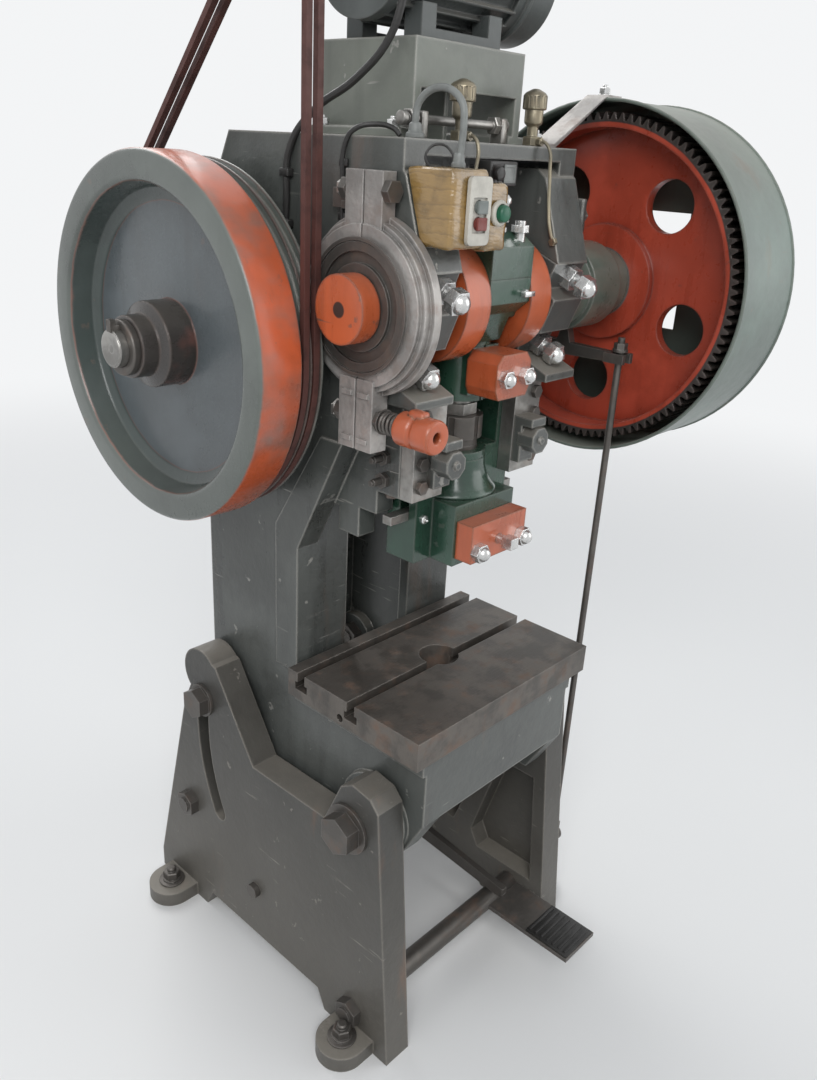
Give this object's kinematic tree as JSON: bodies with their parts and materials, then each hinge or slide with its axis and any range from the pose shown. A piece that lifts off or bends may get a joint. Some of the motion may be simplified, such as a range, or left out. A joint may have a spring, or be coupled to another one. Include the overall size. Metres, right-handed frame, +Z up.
{
  "type": "mechanical stamping press",
  "caption": "Open-back inclinable crank press: a tilting C-frame between cast legs, geared flywheel drive, guided ram with ball screw, band brake and slotted bolster.",
  "frame": {"origin": "on the floor, at the centre of the four anchor holes of the feet", "axes": "+Z up, +X to the operator's right (gear side), -Y to the front where the operator stands"},
  "size_m": [0.908, 0.8921, 1.842],
  "materials": {
    "frame_paint": "worn dark grey-green machine enamel, oily",
    "leg_paint": "worn dark enamel with rust stains",
    "orange_paint": "glossy worn orange enamel",
    "green_paint": "glossy dark green enamel",
    "guard_paint": "dull green enamel on sheet steel",
    "motor_paint": "grey enamel",
    "gear_red": "dark red enamel, greasy",
    "flywheel_paint": "grey faces and orange rim",
    "oily_steel": "machined steel, oily and stained",
    "table_steel": "machined steel, stained brown",
    "bright_zinc": "bright plated nuts and studs",
    "raw_iron": "bare grey cast iron",
    "dark_steel": "blackened steel",
    "bronze": "bronze bearing metal",
    "belt_rubber": "red-brown dusty rubber",
    "pale_plastic": "pale plastic with yellowed film",
    "grey_plastic": "grey plastic",
    "white_plastic": "off-white plastic",
    "red_plastic": "dull red plastic",
    "green_plastic": "green plastic"
  },
  "bodies": {
    "stand": {"left_leg": "leg_paint", "right_leg": "leg_paint", "tie_rods": "dark_steel"},
    "frame": {"frame_casting": "frame_paint", "pivot_bolts": "oily_steel", "clamp_bolts": "oily_steel", "bearing_caps": "frame_paint", "cap_studs": "bright_zinc", "main_bushes": "bronze", "bolster_plate": "table_steel", "bolster_bolts": "dark_steel", "gibs": "oily_steel", "adjusting_screws": "dark_steel", "guide_brackets": "frame_paint", "gear_guard": "guard_paint", "guard_straps": "guard_paint", "brake_rear_shoe": "raw_iron", "brake_front_shoe": "raw_iron", "brake_bolts": "oily_steel", "brake_spring": "dark_steel", "brake_sleeve": "orange_paint", "shaft_bearings": "frame_paint", "motor_bracket": "frame_paint", "motor": "motor_paint", "terminal_box": "motor_paint", "drive_belts": "belt_rubber", "switch_box": "pale_plastic", "switch_plate": "white_plastic", "button_box": "pale_plastic", "grease_cups": "oily_steel", "conduit": "grey_plastic", "limit_switch": "grey_plastic", "latch_bracket": "frame_paint"},
    "crank": {"crankshaft": "orange_paint", "brake_drum": "dark_steel", "clutch_collar": "guard_paint"},
    "gear": {"bull_gear": "gear_red"},
    "shaft": {"flywheel": "flywheel_paint", "back_shaft": "oily_steel", "pinion": "dark_steel"},
    "pulley": {"motor_pulley": "oily_steel"},
    "rod": {"connecting_rod": "green_paint", "rod_cap": "green_paint", "crank_pin": "bronze", "rod_studs": "bright_zinc", "rod_clamp": "orange_paint", "rod_oiler": "bright_zinc"},
    "ram": {"ram": "green_paint", "gland_nut": "dark_steel", "shank_clamp": "orange_paint", "shank_studs": "bright_zinc"},
    "screw": {"ball_screw": "oily_steel"},
    "knockout": {"knockout_bar": "oily_steel"},
    "treadle": {"treadle": "leg_paint"},
    "pull_rod": {"pull_rod": "oily_steel"},
    "trip_lever": {"trip_lever": "oily_steel"},
    "start": {"start_button": "grey_plastic"},
    "stop": {"stop_button": "red_plastic"},
    "inch": {"inch_button": "green_plastic"}
  },
  "joints": [
    {"name": "frame_tilt", "type": "hinge", "parent": "stand", "child": "frame", "pos_m": [0, -0.229, 0.449], "axis": [-1, 0, 0], "range_deg": [0, 35]},
    {"name": "gear_spin", "type": "hinge", "parent": "frame", "child": "gear", "pos_m": [0, -0.182, 1.27], "axis": [1, 0, 0], "continuous": true},
    {"name": "shaft_spin", "type": "hinge", "parent": "frame", "child": "shaft", "pos_m": [0, 0.13809, 1.18], "axis": [1, 0, 0], "continuous": true},
    {"name": "pulley_spin", "type": "hinge", "parent": "frame", "child": "pulley", "pos_m": [0, -0.072, 1.71], "axis": [1, 0, 0], "continuous": true},
    {"name": "crank_turn", "type": "hinge", "parent": "frame", "child": "crank", "pos_m": [0, -0.182, 1.27], "axis": [1, 0, 0], "continuous": true},
    {"name": "stroke", "type": "slide", "parent": "frame", "child": "rod", "axis": [0, 0, -1], "range_m": [0, 0.07]},
    {"name": "height_adjust", "type": "slide", "parent": "rod", "child": "ram", "axis": [0, 0, -1], "range_m": [-0.008, 0.037]},
    {"name": "screw_turn", "type": "hinge", "parent": "ram", "child": "screw", "pos_m": [0, -0.182, 1.27], "axis": [0, 0, 1], "range_deg": [-500, 2300]},
    {"name": "knockout_lift", "type": "slide", "parent": "ram", "child": "knockout", "axis": [0, 0, 1], "range_m": [0, 0.014]},
    {"name": "treadle_press", "type": "hinge", "parent": "stand", "child": "treadle", "pos_m": [0, 0.018, 0.15], "axis": [1, 0, 0], "range_deg": [0, 4], "stiffness_Nm_per_rad": 60, "springref_deg": -31.51},
    {"name": "pull_rod_slide", "type": "slide", "parent": "stand", "child": "pull_rod", "axis": [0, 0, -1], "range_m": [-0.001, 0.023]},
    {"name": "trip_turn", "type": "hinge", "parent": "frame", "child": "trip_lever", "pos_m": [0.285, -0.122, 1.164], "axis": [1, 0, 0], "range_deg": [-0.5, 7.6]},
    {"name": "start_press", "type": "slide", "parent": "frame", "child": "start", "axis": [0, 1, 0], "range_m": [0, 0.003], "stiffness_N_per_m": 900, "springref_m": -0.002},
    {"name": "stop_press", "type": "slide", "parent": "frame", "child": "stop", "axis": [0, 1, 0], "range_m": [0, 0.003], "stiffness_N_per_m": 900, "springref_m": -0.002},
    {"name": "inch_press", "type": "slide", "parent": "frame", "child": "inch", "axis": [0, 1, 0], "range_m": [0, 0.003], "stiffness_N_per_m": 900, "springref_m": -0.002}
  ],
  "couplings": [
    {"joint": "shaft_spin", "follows": "gear_spin", "ratio": -4.1154},
    {"joint": "pulley_spin", "follows": "gear_spin", "ratio": -21.4},
    {"joint": "screw_turn", "follows": "height_adjust", "rad_per_m": 1047.2},
    {"joint": "pull_rod_slide", "follows": "treadle_press", "m_per_rad": 0.31},
    {"joint": "trip_turn", "follows": "treadle_press", "ratio": 1.8235}
  ]
}
